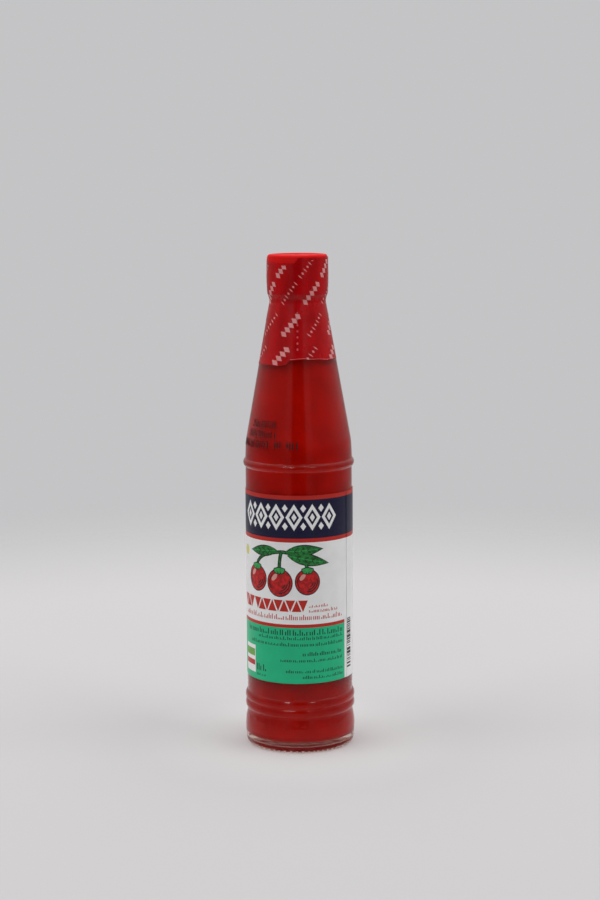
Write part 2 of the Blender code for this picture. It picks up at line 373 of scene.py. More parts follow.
class StudioSettings(bpy.types.PropertyGroup):
    """Camera, light and background."""

    lens: number_property("Lens", "Focal length in millimetres", 77.7, "NONE")
    distance: number_property("Distance", "From camera to bottle", 0.6237)
    height: number_property("Height", "Of the camera above the table", 0.1894)
    sideways: number_property("Sideways", "Of the camera off the axis", 0.00047)
    pitch: number_property("Pitch", "How far the camera looks down", math.radians(8.46), "ROTATION")
    roll: number_property("Roll", "Turn of the camera about its view", math.radians(-0.37), "ROTATION")
    backdrop: colour_property("Backdrop", "Tone of the far background", 0.552, 0.552, 0.562)
    floor: colour_property("Floor", "Tone of the table", 0.565, 0.553, 0.556)
    brightness: number_property("Brightness", "Strength of the surrounding light", 1.0, "NONE")
    lamp_distance: number_property("Lamp distance", "From any lamp to the bottle", 0.9)
    lamp_power: number_property("Lamp power", "Of each soft strip, in watts", 1.6, "NONE")
    lamp_aside: number_property("Lamp aside", "Degrees from the camera's side", 70.0, "NONE")
    lamp_rise: number_property("Lamp rise", "Degrees above level", 50.0, "NONE")
    lamp_size: size_property("Lamp size", "Width and height of a strip", 0.5, 0.14)
    glint_power: number_property("Glint power", "Of each strip that only gloss shows", 1.7, "NONE")
    glint_aside: number_property("Glint aside", "Degrees from the camera's side", 24.0, "NONE")
    glint_rise: number_property("Glint rise", "Degrees above level", 31.0, "NONE")
    glint_size: size_property("Glint size", "Width and height of a glint's strip", 0.34, 0.1)


def smooth_step(value):
    value = min(1.0, max(0.0, value))
    return value * value * (3.0 - 2.0 * value)


def turned_away(angle):
    """The same angle, from -180 up to 180 degrees."""
    return (angle + 180.0) % 360.0 - 180.0


def share_inside(angle, stretch, spread):
    """1 inside the stretch of angles, 0 outside it, with a smooth change at both ends."""
    angle = turned_away(angle)
    rise = smooth_step((angle - stretch[0]) / spread + 0.5)
    return rise * smooth_step((stretch[1] - angle) / spread + 0.5)


def arc(centre, radius, start, end, steps):
    """Points of an arc in the (radius, height) plane. Angles are in degrees from straight outwards."""
    turns = [math.radians(start + (end - start) * step / steps) for step in range(steps + 1)]
    return [(centre[0] + radius * math.cos(turn), centre[1] + radius * math.sin(turn)) for turn in turns]


def bead(height, curve, base_below, base_above, steps=16):
    """A half-round bead on the wall, from its radius below up to its radius above."""
    middle = BEAD_RADIUS - curve
    start = -math.degrees(math.acos((base_below - middle) / curve))
    end = math.degrees(math.acos((base_above - middle) / curve))
    return arc((middle, height), curve, start, end, steps)


def curve_between(start, control, end, steps):
    """Points of a curve that leaves its start towards the control point and ends at its end."""
    shares = [step / steps for step in range(steps + 1)]
    start, control, end = Vector(start), Vector(control), Vector(end)
    return [tuple(start * (1 - t) ** 2 + control * 2 * t * (1 - t) + end * t * t) for t in shares]


def bent(before, corner, after, reach, steps=8):
    """A corner between two straight walls, rounded by a curve that starts and ends reach away from it."""
    corner = Vector(corner)
    start = corner + (Vector(before) - corner).normalized() * reach
    end = corner + (Vector(after) - corner).normalized() * reach
    return curve_between(start, corner, end, steps)


def straight(start, end, steps):
    """The points between two ends of a straight wall, without the ends."""
    return [tuple(Vector(start).lerp(Vector(end), step / steps)) for step in range(1, steps)]


def cone_radius(height):
    """Outer radius of the glass on the straight cone above the shoulder."""
    share = (height - SHOULDER_CORNER[1]) / (CONE_TOP[1] - SHOULDER_CORNER[1])
    return SHOULDER_CORNER[0] + (CONE_TOP[0] - SHOULDER_CORNER[0]) * share


def glass_outside(body_radius):
    """The outer wall from the foot's ring to the mouth."""
    turns = [math.degrees(math.asin((height - HEEL_BULGE[1]) / HEEL_CURVE)) for height in HEEL_SPAN]
    heel = arc((HEEL_BULGE[0] - HEEL_CURVE, HEEL_BULGE[1]), HEEL_CURVE, *turns, steps=28)
    low, high = SEAM_SPAN
    edge = HEEL_BULGE[0] - HEEL_CURVE + math.sqrt(HEEL_CURVE**2 - (high - HEEL_BULGE[1]) ** 2)
    heel = [point for point in heel if point[1] > high + 0.1]
    seam = [
        (edge - SEAM_FOOT, low),
        (edge - 0.02 + SEAM_RISE, low + SEAM_EASE),
        (edge + SEAM_RISE, high - SEAM_EASE),
        (edge, high),
    ]
    foot_corner = (seam[0][0] - SEAM_EASE, 0.0)
    low, high = FOOT_BEADS
    valley = BEAD_RADIUS - FOOT_BEAD_CURVE + math.sqrt(FOOT_BEAD_CURVE**2 - ((high - low) / 2) ** 2)
    shoulder = bent(SHOULDER_START, SHOULDER_CORNER, CONE_TOP, SHOULDER_ROUNDING)
    mouth = (NECK[0], MOUTH_HEIGHT)
    return [
        (FOOT_RING[0], 0.0),
        *straight((FOOT_RING[0], 0.0), (FOOT_RING[1], 0.0), 5),
        *bent((0.0, 0.0), foot_corner, seam[0], foot_corner[0] - FOOT_RING[1]),
        *seam,
        *heel,
        *bead(low, FOOT_BEAD_CURVE, heel[-1][0], valley),
        *bead(high, FOOT_BEAD_CURVE, valley, body_radius)[1:],
        *bead(SHOULDER_BEAD, SHOULDER_BEAD_CURVE, body_radius, SHOULDER_START[0]),
        *shoulder,
        *straight(shoulder[-1], CONE_TOP, 12),
        CONE_TOP,
        NECK,
        *bent(NECK, mouth, (0.0, MOUTH_HEIGHT), LIP_ROUNDING),
    ]


def glass_inside(body_radius, wall, outset=0.0):
    """The inner wall from the floor's middle to the mouth, moved into the glass by outset."""
    inner = body_radius - wall + outset
    floor = FLOOR_HEIGHT - outset
    cone_foot = (inner, SHOULDER_CORNER[1] - wall)
    cone_top = (CONE_TOP[0] - wall + outset, CONE_TOP[1] - wall)
    bore = BORE[0] + outset
    return [
        (0.0, FLOOR_MIDDLE_HEIGHT - outset),
        *bent((0.0, floor), (inner, floor), cone_foot, FLOOR_CORNER, steps=12),
        *bent((inner, floor), cone_foot, cone_top, SHOULDER_ROUNDING),
        *bent(cone_foot, cone_top, (bore, BORE[1]), SHOULDER_ROUNDING),
        (bore, BORE[1]),
        (bore, MOUTH_HEIGHT - LIP_ROUNDING),
        (bore + LIP_ROUNDING, MOUTH_HEIGHT),
    ]


def start_clean():
    """Leaves edit mode and deselects everything, because an operator acts on all that is selected."""
    if bpy.context.mode != "OBJECT":
        bpy.ops.object.mode_set(mode="OBJECT")
    bpy.ops.object.select_all(action="DESELECT")


def take(obj, *others):
    """Selects objects, the first of them active."""
    start_clean()
    for each in (obj, *others):
        each.select_set(True)
    bpy.context.view_layer.objects.active = obj


def angle_of(place):
    """Degrees round the bottle from the front, growing towards +X."""
    return math.degrees(math.atan2(place.x, -place.y))


def draw_line(points):
    """Draws a line of edges through (across, up) points, by extruding one point from place to place."""
    start_clean()
    bpy.ops.mesh.primitive_plane_add(size=MM)
    bpy.ops.object.mode_set(mode="EDIT")
    bpy.ops.mesh.select_mode(type="VERT")
    bpy.ops.mesh.merge(type="CENTER")
    places = [Vector((across, 0.0, up)) * MM for across, up in points]
    bpy.ops.transform.translate(value=places[0])
    for here, there in zip(places, places[1:]):
        bpy.ops.mesh.extrude_vertices_move(TRANSFORM_OT_translate={"value": there - here})
    return bpy.context.object


def turn_round(points):
    """Spins a half outline into a closed turned shape."""
    obj = draw_line(points)
    bpy.ops.mesh.select_all(action="SELECT")
    bpy.ops.mesh.spin(steps=TURN_STEPS, angle=math.tau, center=(0, 0, 0), axis=(0, 0, 1))
    bpy.ops.mesh.select_all(action="SELECT")
    bpy.ops.mesh.remove_doubles(threshold=WELD)
    bpy.ops.mesh.normals_make_consistent(inside=False)
    bpy.ops.object.mode_set(mode="OBJECT")
    return obj


def fill_outline(points):
    """A flat face inside an outline that runs anticlockwise as the front sees it."""
    obj = draw_line(points)
    bpy.ops.mesh.select_all(action="SELECT")
    bpy.ops.mesh.edge_face_add()
    bpy.ops.object.mode_set(mode="OBJECT")
    return obj


def add_grid(left, low, width, height, columns, rows):
    """A flat upright grid that faces the front."""
    start_clean()
    bpy.ops.mesh.primitive_grid_add(x_subdivisions=columns, y_subdivisions=rows, size=1.0)
    obj = bpy.context.object
    obj.scale = (width * MM, height * MM, 1.0)
    obj.rotation_euler = (STAND_UP, 0.0, 0.0)
    obj.location = ((left + width / 2) * MM, 0.0, (low + height / 2) * MM)
    bpy.ops.object.transform_apply(location=True, rotation=True, scale=True)
    return obj


def join(objects):
    """Makes one object of several."""
    if len(objects) > 1:
        take(*objects)
        bpy.ops.object.join()
    return objects[0]


def choose(obj, part, test):
    """Selects the faces or vertices of a mesh that pass a test, in a fresh edit mode."""
    take(obj)
    bpy.ops.object.mode_set(mode="EDIT")
    bpy.ops.mesh.select_mode(type="FACE" if part == "faces" else "VERT")
    bpy.ops.mesh.select_all(action="DESELECT")
    bpy.ops.object.mode_set(mode="OBJECT")
    for element in obj.data.polygons if part == "faces" else obj.data.vertices:
        element.select = test(element)
    bpy.ops.object.mode_set(mode="EDIT")


def remove_faces(obj, test):
    """Deletes the faces that pass a test, and stays in edit mode."""
    choose(obj, "faces", test)
    bpy.ops.mesh.delete(type="FACE")


def press(obj, test, distance):
    """Moves the vertices that pass a test outwards by a distance in millimetres."""
    choose(obj, "vertices", test)
    bpy.ops.transform.shrink_fatten(value=distance * MM)
    bpy.ops.object.mode_set(mode="OBJECT")


def paint(obj, finishes, *tests):
    """Gives an object its finishes: the first all over, each other one on the faces that pass its test."""
    for finish in finishes:
        obj.data.materials.append(finish)
    for index, test in enumerate(tests, 1):
        choose(obj, "faces", test)
        obj.active_material_index = index
        bpy.ops.object.material_slot_assign()


def cut_across(place, normal):
    """Cuts every face of the mesh in edit mode along one plane."""
    bpy.ops.mesh.select_all(action="SELECT")
    bpy.ops.mesh.bisect(plane_co=place, plane_no=normal)


def solidify(obj, thickness):
    """Gives a sheet its thickness, inwards."""
    take(obj)
    modifier = obj.modifiers.new("Solidify", "SOLIDIFY")
    modifier.thickness = thickness
    modifier.offset = -1.0
    bpy.ops.object.modifier_apply(modifier=modifier.name)


def finish_piece(obj, name, node=None):
    """Names and shades a piece, and hangs it on the bottle."""
    take(obj)
    obj.name = name
    obj.data.name = name
    bpy.ops.object.shade_smooth_by_angle(angle=SMOOTH_ANGLE)
    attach(obj, BODY)
    if node:
        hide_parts(node)


def feed(tree, node, inputs):
    """Gives each input of a node, by name or number, its value or the output that feeds it."""
    for name, value in inputs.items():
        if isinstance(value, bpy.types.NodeSocket):
            tree.links.new(value, node.inputs[name])
        else:
            node.inputs[name].default_value = value


def add_node(tree, kind, inputs=None, **settings):
    """Adds a shader node, and returns its outputs."""
    node = tree.nodes.new(f"ShaderNode{kind}")
    for name, value in settings.items():
        setattr(node, name, value)
    feed(tree, node, inputs or {})
    return node.outputs


def remap(tree, value, span, ends=(0.0, 1.0), kind="SMOOTHSTEP"):
    """A value's place in a span, as a number between two ends."""
    titles = ("Value", "From Min", "From Max", "To Min", "To Max")
    inputs = dict(zip(titles, (value, *span, *ends)))
    return add_node(tree, "MapRange", inputs, interpolation_type=kind)["Result"]


def blend(tree, share, first, second, kind="MIX"):
    """A colour between two others."""
    inputs = {"Factor": share, "A": first, "B": second}
    return add_node(tree, "Mix", inputs, data_type="RGBA", blend_type=kind)["Result"]


def fade_up(tree, span, low, high):
    """A colour that changes softly from one to another between two heights."""
    place = add_node(tree, "TexCoord")["Object"]
    height = add_node(tree, "SeparateXYZ", {"Vector": place})["Z"]
    return blend(tree, remap(tree, height, (span[0] * MM, span[1] * MM)), low, high)


def new_group(name, inputs, outputs):
    """A shader node group's tree, what it is given and the node that puts out its results.

    An input with a number is a value with that default, and the others are colours.
    """
    tree = bpy.data.node_groups.new(name, "ShaderNodeTree")
    for title, default in inputs.items():
        kind = "NodeSocketColor" if default is None else "NodeSocketFloat"
        socket = tree.interface.new_socket(title, in_out="INPUT", socket_type=kind)
        if default is not None:
            socket.default_value = default
    for title, kind in outputs.items():
        tree.interface.new_socket(title, in_out="OUTPUT", socket_type=f"NodeSocket{kind}")
    return tree, tree.nodes.new("NodeGroupInput").outputs, tree.nodes.new("NodeGroupOutput")


def grain_group():
    """A shader node group: fine even grain, as a mask for roughness and a height for bump."""
    tree = bpy.data.node_groups.get("Fine Grain")
    if tree:
        return tree
    inputs = {"Grains per metre": 4000.0, "Least": 0.3, "Most": 0.4}
    tree, given, out = new_group("Fine Grain", inputs, {"Roughness": "Float", "Height": "Float"})
    place = add_node(tree, "TexCoord")["Object"]
    scale = given["Grains per metre"]
    noise = add_node(tree, "TexNoise", {"Vector": place, "Scale": scale, "Detail": 3.0})["Fac"]
    roughness = remap(tree, noise, (0.3, 0.7), (given["Least"], given["Most"]), "LINEAR")
    feed(tree, out, {"Roughness": roughness, "Height": noise})
    return tree


def mottle_group():
    """A shader node group: soft clouds of a second colour over a first, stretched along the bottle."""
    tree = bpy.data.node_groups.get("Mottle")
    if tree:
        return tree
    inputs = {"Colour": None, "Second colour": None, "Clouds per metre": 300.0, "Upright stretch": 1.0}
    tree, given, out = new_group("Mottle", inputs, {"Colour": "Color"})
    place = add_node(tree, "TexCoord")["Object"]
    squeeze = add_node(tree, "CombineXYZ", {"X": 1.0, "Y": 1.0, "Z": given["Upright stretch"]})["Vector"]
    scaled = add_node(tree, "VectorMath", {0: place, 1: squeeze}, operation="MULTIPLY")["Vector"]
    scale = given["Clouds per metre"]
    noise = add_node(tree, "TexNoise", {"Vector": scaled, "Scale": scale, "Detail": 2.0})["Fac"]
    clouds = remap(tree, noise, (0.35, 0.65))
    feed(tree, out, {"Colour": blend(tree, clouds, given["Colour"], given["Second colour"])})
    return tree


def shade(colour, factor):
    """A colour for a socket, made lighter or darker."""
    return (*[min(1.0, part * factor) for part in colour], 1.0)


def new_material(name):
    """A material, its node tree and its one Principled shader."""
    material = bpy.data.materials.new(name)
    material.use_nodes = True
    return material, material.node_tree, material.node_tree.nodes["Principled BSDF"]


def add_mottle(tree, shader, colour, vary, clouds, stretch=1.0):
    """Clouds of a lighter or darker shade in the shader's colour, so many to a metre."""
    inputs = {
        "Colour": shade(colour, 1.0),
        "Second colour": shade(colour, vary),
        "Clouds per metre": clouds,
        "Upright stretch": stretch,
    }
    mottle = add_node(tree, "Group", inputs, node_tree=mottle_group())
    feed(tree, shader, {"Base Color": mottle["Colour"]})


def add_grain(tree, shader, grains, roughness=None, bump=None):
    """Grain in the roughness, from least to most, and in a bump of given strength and depth in mm."""
    least, most = roughness or (0.0, 0.0)
    inputs = {"Grains per metre": grains, "Least": least, "Most": most}
    grain = add_node(tree, "Group", inputs, node_tree=grain_group())
    if roughness:
        feed(tree, shader, {"Roughness": grain["Roughness"]})
    if bump:
        inputs = {"Height": grain["Height"], "Strength": bump[0], "Distance": bump[1] * MM}
        feed(tree, shader, {"Normal": add_node(tree, "Bump", inputs)["Normal"]})


def plain_finish(name, colour, roughness, vary=0.9, grain=4000.0, bump=0.05, clouds=260.0, shine=0.3):
    """A solid finish with a little mottle in its colour, and fine grain in its gloss and surface."""
    if name in bpy.data.materials:
        return bpy.data.materials[name]
    material, tree, shader = new_material(name)
    add_mottle(tree, shader, colour, vary, clouds)
    add_grain(tree, shader, grain, (roughness * 0.85, roughness * 1.15), (bump, 0.05))
    feed(tree, shader, {"Specular IOR Level": shine})
    return material


def clear_glass(colour):
    """Clear glass with faint ripples and a warmer foot. It lets lamps through to what it holds."""
    material, tree, shader = new_material("clear_glass")
    tint = fade_up(tree, FOOT_TINT_SPAN, FOOT_TINT, (*colour, 1.0))
    feed(tree, shader, {"Base Color": tint, "Transmission Weight": 1.0, "Roughness": 0.0, "IOR": GLASS_IOR})
    feed(tree, shader, {"Specular Tint": (0.35, 0.35, 0.35, 1.0)})
    add_grain(tree, shader, 90.0, bump=(0.04, 0.6))
    through = add_node(tree, "BsdfTransparent", {"Color": (0.93, 0.94, 0.93, 1.0)})["BSDF"]
    shadow = add_node(tree, "LightPath")["Is Shadow Ray"]
    mix = add_node(tree, "MixShader", {"Fac": shadow, 1: shader.outputs["BSDF"], 2: through})["Shader"]
    feed(tree, tree.nodes["Material Output"], {"Surface": mix})
    return material


def red_film(colour):
    """Thin glossy film that what it covers shows through, a little cloudy where it shrank."""
    material, tree, shader = new_material("red_film")
    add_mottle(tree, shader, colour, 1.3, 220.0, stretch=0.3)
    add_grain(tree, shader, 350.0, (0.10, 0.2), (0.15, 0.12))
    feed(tree, shader, {"Alpha": 0.62, "Specular IOR Level": 0.25})
    return material


def thick_sauce(colour, name, roughness, shine, glow):
    """Thick red sauce with soft clouds, and a painted glow near the foot that stands in for light spreading
    from below.
    """
    material, tree, shader = new_material(name)
    add_mottle(tree, shader, colour, 0.86, 160.0)
    add_grain(tree, shader, 2500.0, (roughness * 0.8, roughness * 1.2))
    # Painted glow: emission in the sauce's own colour, strongest at the floor and gone by the glow's top
    light = fade_up(tree, (FLOOR_HEIGHT, PAINTED_GLOW_TOP), shade(colour, glow), shade(colour, 0.0))
    feed(tree, shader, {"Specular IOR Level": shine, "Emission Color": light, "Emission Strength": 1.0})
    return material


def rough_glass(name, clearness):
    """Pale rough glass, as on the stippled foot and the mould's seam. On the seam its pale colour is partly
    a painted highlight of the seam's small ridge.
    """
    material, tree, shader = new_material(name)
    feed(tree, shader, {"Base Color": ROUGH_TINT, "Transmission Weight": clearness, "IOR": GLASS_IOR})
    add_grain(tree, shader, 3000.0, (0.3, 0.5))
    return material


class BOTTLE_OT_glass(bpy.types.Operator):
    """Turn the clear bottle, and press the stipple and the small marks into its heel"""

    bl_idname = "bottle.glass"
    bl_label = "Glass"

    def execute(self, context):
        sizes = context.scene.bottle_sizes
        body_radius, wall = sizes.body_radius / MM, sizes.wall / MM
        underside = [(FOOT_RING[0] * share, PUNT_HEIGHT * rise) for share, rise in PUNT_CURVE]
        inside = glass_inside(body_radius, wall)
        obj = turn_round([(0.0, PUNT_HEIGHT), *underside, *glass_outside(body_radius), *reversed(inside)])
        self.grooves = self.groove_steps()
        press(obj, self.in_groove, -STIPPLE_DEPTH)
        self.marks = self.mark_places()
        press(obj, self.in_mark, RELIEF_HEIGHT)
        glass = clear_glass(context.scene.bottle_colours.glass)
        # The seam's ridge is real, and its pale rough glass is partly a painted highlight of that ridge
        finishes = [glass, rough_glass("stippled_glass", 0.4), rough_glass("seam_glass_painted_highlight", 0.85)]
        paint(obj, finishes, self.is_stippled, self.is_seam)
        finish_piece(obj, "clear_bottle", "glass_bottle")
        return {"FINISHED"}

    def groove_steps(self):
        """The steps round the foot's ring that are pressed in, in short grooves of uneven width."""
        draw, grooves, step = random.Random(8), set(), 0
        while step < TURN_STEPS:
            width = draw.choice(STIPPLE_GROOVES)
            grooves.update(range(step, step + width))
            step += width + draw.choice(STIPPLE_RIDGES)
        return grooves

    def in_groove(self, vertex):
        """Whether a vertex is in one of the grooves across the ring that the bottle stands on."""
        across = math.hypot(vertex.co.x, vertex.co.y) / MM
        step = round(math.atan2(vertex.co.y, vertex.co.x) / math.tau * TURN_STEPS)
        on_ring = across > FOOT_RING[0] + 0.01 and vertex.co.z < STIPPLE_TOP * MM
        return on_ring and step % TURN_STEPS in self.grooves

    def is_stippled(self, face):
        """Whether a face is on one of the ridges of the ring that the bottle stands on."""
        step = int(math.atan2(face.center.y, face.center.x) / math.tau * TURN_STEPS % TURN_STEPS)
        on_ridge = not self.grooves.intersection((step, (step + 1) % TURN_STEPS))
        on_ring = math.hypot(*face.center.xy) > FOOT_RING[0] * MM and face.center.z < STIPPLE_TOP * MM
        return on_ridge and on_ring

    def is_seam(self, face):
        """Whether a face is on the mould's seam, low on the heel."""
        on_wall = math.hypot(*face.center.xy) > FOOT_RING[1] * MM
        return on_wall and SEAM_SPAN[0] < face.center.z / MM < SEAM_SPAN[1]

    def mark_places(self):
        """Left and right angle, foot and top of each small plain bar that stands out of the heel."""
        draw = random.Random(5)
        marks, angle = [], RELIEF_ANGLES[0]
        while angle < RELIEF_ANGLES[1]:
            low = draw.uniform(0.0, RELIEF_LIFT)
            marks.append((angle, angle + RELIEF_WIDTH, low, low + draw.uniform(*RELIEF_LENGTHS)))
            angle += draw.choice(RELIEF_PITCHES)
        return marks

    def in_mark(self, vertex):
        """Whether a vertex of the outer wall is in one of those bars."""
        height, angle = vertex.co.z / MM - RELIEF_SPAN[0], angle_of(vertex.co)
        inside = math.hypot(*vertex.co.xy) < RELIEF_WALL * MM
        if inside or not 0.0 < height < RELIEF_SPAN[1] - RELIEF_SPAN[0]:
            return False
        return any(left < angle < right and low < height < high for left, right, low, high in self.marks)


class BOTTLE_OT_sauce(bpy.types.Operator):
    """Fill the bottle with sauce that reaches just into the glass"""

    bl_idname = "bottle.sauce"
    bl_label = "Sauce"

    def execute(self, context):
        sizes = context.scene.bottle_sizes
        inside = glass_inside(sizes.body_radius / MM, sizes.wall / MM, sizes.sauce_overlap / MM)
        filled = [point for point in inside if point[1] < SAUCE_LEVEL]
        edge = BORE[0] + sizes.sauce_overlap / MM
        obj = turn_round([*filled, (edge, SAUCE_LEVEL), (0.0, SAUCE_LEVEL)])
        colour = context.scene.bottle_colours.sauce
        finishes = [
            thick_sauce(colour, "red_sauce", 0.6, 0.0, SAUCE_PAINTED_GLOW),
            thick_sauce(colour, "sauce_floor", 0.08, UNDER_SHINE, UNDER_PAINTED_GLOW),
        ]
        # The underside takes more gloss and a stronger painted glow
        paint(obj, finishes, lambda face: face.normal.z < -0.6 and face.center.z < PAINTED_GLOW_TOP * MM)
        finish_piece(obj, "red_sauce", "hot_sauce")
        return {"FINISHED"}


class BOTTLE_OT_cap(bpy.types.Operator):
    """Turn the screw cap, with a shallow dish and a moulding mark on its top"""

    bl_idname = "bottle.cap"
    bl_label = "Cap"

    def execute(self, context):
        inner, ceiling = NECK[0] + CAP_CLEARANCE, TOTAL_HEIGHT - CAP_ROOF
        edge, groove, side = CAP_LIP_STEPS
        dish_radius, dish_depth = CAP_DISH
        gate_radius, gate_depth = CAP_GATE
        rim, floor = (dish_radius + CAP_DISH_SLOPE, TOTAL_HEIGHT), TOTAL_HEIGHT - dish_depth
        obj = turn_round([
            (0.0, ceiling),
            (inner, ceiling),
            (inner, CAP_BOTTOM),
            (CAP_RADIUS - CAP_LIP, CAP_BOTTOM),
            (CAP_RADIUS - CAP_LIP / 2, CAP_BOTTOM + edge),
            (CAP_RADIUS - CAP_LIP / 2, CAP_BOTTOM + groove),
            (CAP_RADIUS, CAP_BOTTOM + side),
            *arc((CAP_RADIUS - CAP_CORNER, TOTAL_HEIGHT - CAP_CORNER), CAP_CORNER, 0.0, 90.0, 12),
            *bent((CAP_RADIUS, TOTAL_HEIGHT), rim, (dish_radius, floor), 0.15, 4),
            *bent(rim, (dish_radius, floor), (0.0, floor), 0.15, 4),
            (gate_radius + 0.1, floor),
            (gate_radius, floor - gate_depth),
            (0.0, floor - gate_depth),
        ])
        colour = context.scene.bottle_colours.cap
        plastic = plain_finish("red_plastic", colour, 0.52, vary=0.93, grain=9000.0, bump=0.08, shine=0.05)
        paint(obj, [plastic])
        finish_piece(obj, "red_cap", "screw_cap")
        return {"FINISHED"}


def film_radius(height):
    """Outer radius of the film: along the cone below, then over the cap's side."""
    lowest, radius = FILM_OVER_CAP[0]
    if height <= lowest:
        share = (height - SHOULDER_CORNER[1]) / (lowest - SHOULDER_CORNER[1])
        return SHOULDER_CORNER[0] + FILM_CLEARANCE + (radius - SHOULDER_CORNER[0] - FILM_CLEARANCE) * share
    for (low, inner), (high, outer) in zip(FILM_OVER_CAP, FILM_OVER_CAP[1:]):
        if height <= high:
            return inner + (outer - inner) * smooth_step((height - low) / (high - low))
    return FILM_OVER_CAP[-1][1]


def film_wave(angle):
    """The small waves of both rims."""
    return 0.12 * math.sin(math.radians(angle * 5 + 40)) + 0.07 * math.sin(math.radians(angle * 13))


def film_foot(angle):
    """Height of the film's lower rim."""
    foot = FILM_FOOT - FILM_FOOT_DROP * share_inside(angle, FILM_FOOT_DIP, FILM_STEP_SPREAD)
    return foot + FILM_FOOT_LEAN * math.cos(math.radians(angle)) + film_wave(angle)


def film_drop(angle):
    """How far the upper rim stays below the top of the cap, along the film."""
    dip = FILM_RIM_DROP * share_inside(angle, FILM_RIM_DIP, FILM_STEP_SPREAD)
    return FILM_TURN_IN + dip - 0.6 * film_wave(angle)


def film_rim(angle):
    """Height of the film's upper rim where it ends on the cap's side."""
    return FILM_OVER_CAP[-1][0] + (FILM_TURN_IN - film_drop(angle))


def film_path():
    """The film's outer line from the cone over the cap's side to the edge of its top, as fine points."""
    lowest, highest = FILM_START, FILM_OVER_CAP[-1][0]
    heights = [lowest + (highest - lowest) * step / FILM_PATH_STEPS for step in range(FILM_PATH_STEPS + 1)]
    side = [(film_radius(height), height) for height in heights]
    top = TOTAL_HEIGHT - 0.02
    corner = (FILM_OVER_CAP[-1][1], top)
    return side + bent(side[-1], corner, (0.0, top), FILM_SHOULDER, steps=24)


def path_point(path, lengths, length):
    """The point at a given length along a path."""
    index = min(max(bisect.bisect_left(lengths, length), 1), len(path) - 1)
    share = (length - lengths[index - 1]) / (lengths[index] - lengths[index - 1])
    return Vector(path[index - 1]).lerp(Vector(path[index]), min(1.0, max(0.0, share)))


class BOTTLE_OT_film(bpy.types.Operator):
    """Drape the shrink film over cap and cone, with wandering rims and two tear lines of small holes"""

    bl_idname = "bottle.film"
    bl_label = "Shrink film"

    def execute(self, context):
        obj = add_grid(-180.0, 0.0, 360.0, 1.0, FILM_COLUMNS, FILM_ROWS)
        self.drape(obj)
        self.pierce(obj)
        bpy.ops.mesh.select_all(action="SELECT")
        bpy.ops.mesh.remove_doubles(threshold=WELD)
        bpy.ops.object.mode_set(mode="OBJECT")
        solidify(obj, context.scene.bottle_sizes.film)
        paint(obj, [red_film(context.scene.bottle_colours.film)])
        finish_piece(obj, "shrink_film", "shrink_band")
        return {"FINISHED"}

    def drape(self, obj):
        """Lays the flat grid along the film's path at every angle round the bottle."""
        path = film_path()
        lengths = [0.0]
        for before, after in zip(path, path[1:]):
            lengths.append(lengths[-1] + math.dist(before, after))
        start_height = path[0][1]
        slope = math.dist(path[0], path[1]) / (path[1][1] - path[0][1])
        for vertex in obj.data.vertices:
            angle = vertex.co.x / MM
            share = vertex.co.z / MM
            low = (film_foot(angle) - start_height) * slope
            high = lengths[-1] - film_drop(angle)
            radius, height = path_point(path, lengths, low + (high - low) * share)
            turn = math.radians(angle)
            vertex.co = Vector((radius * math.sin(turn), -radius * math.cos(turn), height)) * MM

    def pierce(self, obj):
        """Cuts the small upright holes of the two tear lines."""

        def in_hole(face):
            height = face.center.z / MM
            if not TEAR_SPAN[0] < height < TEAR_SPAN[1]:
                return False
            beside = min(abs(turned_away(angle_of(face.center) - tear)) for tear in TEAR_ANGLES)
            in_gap = (height - TEAR_SPAN[0]) % TEAR_PITCH < TEAR_PITCH * TEAR_HOLE[1]
            return beside < TEAR_HOLE[0] and in_gap

        remove_faces(obj, in_hole)


def label_radius(angle):
    """Outer radius of the paper, at an angle that runs on past 360 degrees to the lap's lower end."""
    past_lap = (angle - LAP[1]) / LAP_EASE
    return LABEL_RADIUS + LAP_LIFT * (1.0 - smooth_step(past_lap))


class BOTTLE_OT_label(bpy.types.Operator):
    """Wrap the paper label round the body, with its bands and its panel in colour"""

    bl_idname = "bottle.label"
    bl_label = "Label"

    def execute(self, context):
        colours = context.scene.bottle_colours
        height = LABEL_TOP - LABEL_BOTTOM
        length = 360.0 + LAP[1] - LAP[0]
        obj = add_grid(LAP[0], LABEL_BOTTOM, length, height, LABEL_COLUMNS, 1)
        bpy.ops.object.mode_set(mode="EDIT")
        for line in (*BAND_LINES, *PANEL_LINES):
            cut_across((0.0, 0.0, line * MM), (0.0, 0.0, 1.0))
        for side in PANEL_SIDES:
            cut_across(((side + 360.0) * MM, 0.0, 0.0), (1.0, 0.0, 0.0))
        inks = [
            plain_finish("white_paper", colours.paper, 0.42, vary=0.97, shine=0.4),
            plain_finish("navy_ink", colours.navy, 0.3, vary=0.88, shine=0.25),
            plain_finish("red_ink", colours.red, 0.34, vary=0.93),
            plain_finish("green_ink", colours.green, 0.34, vary=0.95),
        ]
        tests = [lambda face, index=index: self.ink_at(face.center) == index for index in (1, 2, 3)]
        paint(obj, inks, *tests)
        start_clean()
        self.wrap(obj)
        solidify(obj, context.scene.bottle_sizes.paper)
        finish_piece(obj, "paper_label", "wrap_label")
        return {"FINISHED"}

    def ink_at(self, centre):
        """Which material covers a place on the flat label: 0 paper, 1 navy, 2 red, 3 green."""
        angle, height = centre.x / MM - 360.0, centre.z / MM
        if height > BAND_LINES[0] or BAND_LINES[2] < height < BAND_LINES[1]:
            return 2
        if height > BAND_LINES[1]:
            return 1
        if height > PANEL_LINES[0] or not PANEL_SIDES[0] < angle < PANEL_SIDES[1]:
            return 0
        return 2 if height > PANEL_LINES[1] else 3

    def wrap(self, obj):
        for vertex in obj.data.vertices:
            angle, height = vertex.co.x / MM, vertex.co.z
            radius, turn = label_radius(angle) * MM, math.radians(angle)
            vertex.co = (radius * math.sin(turn), -radius * math.cos(turn), height)


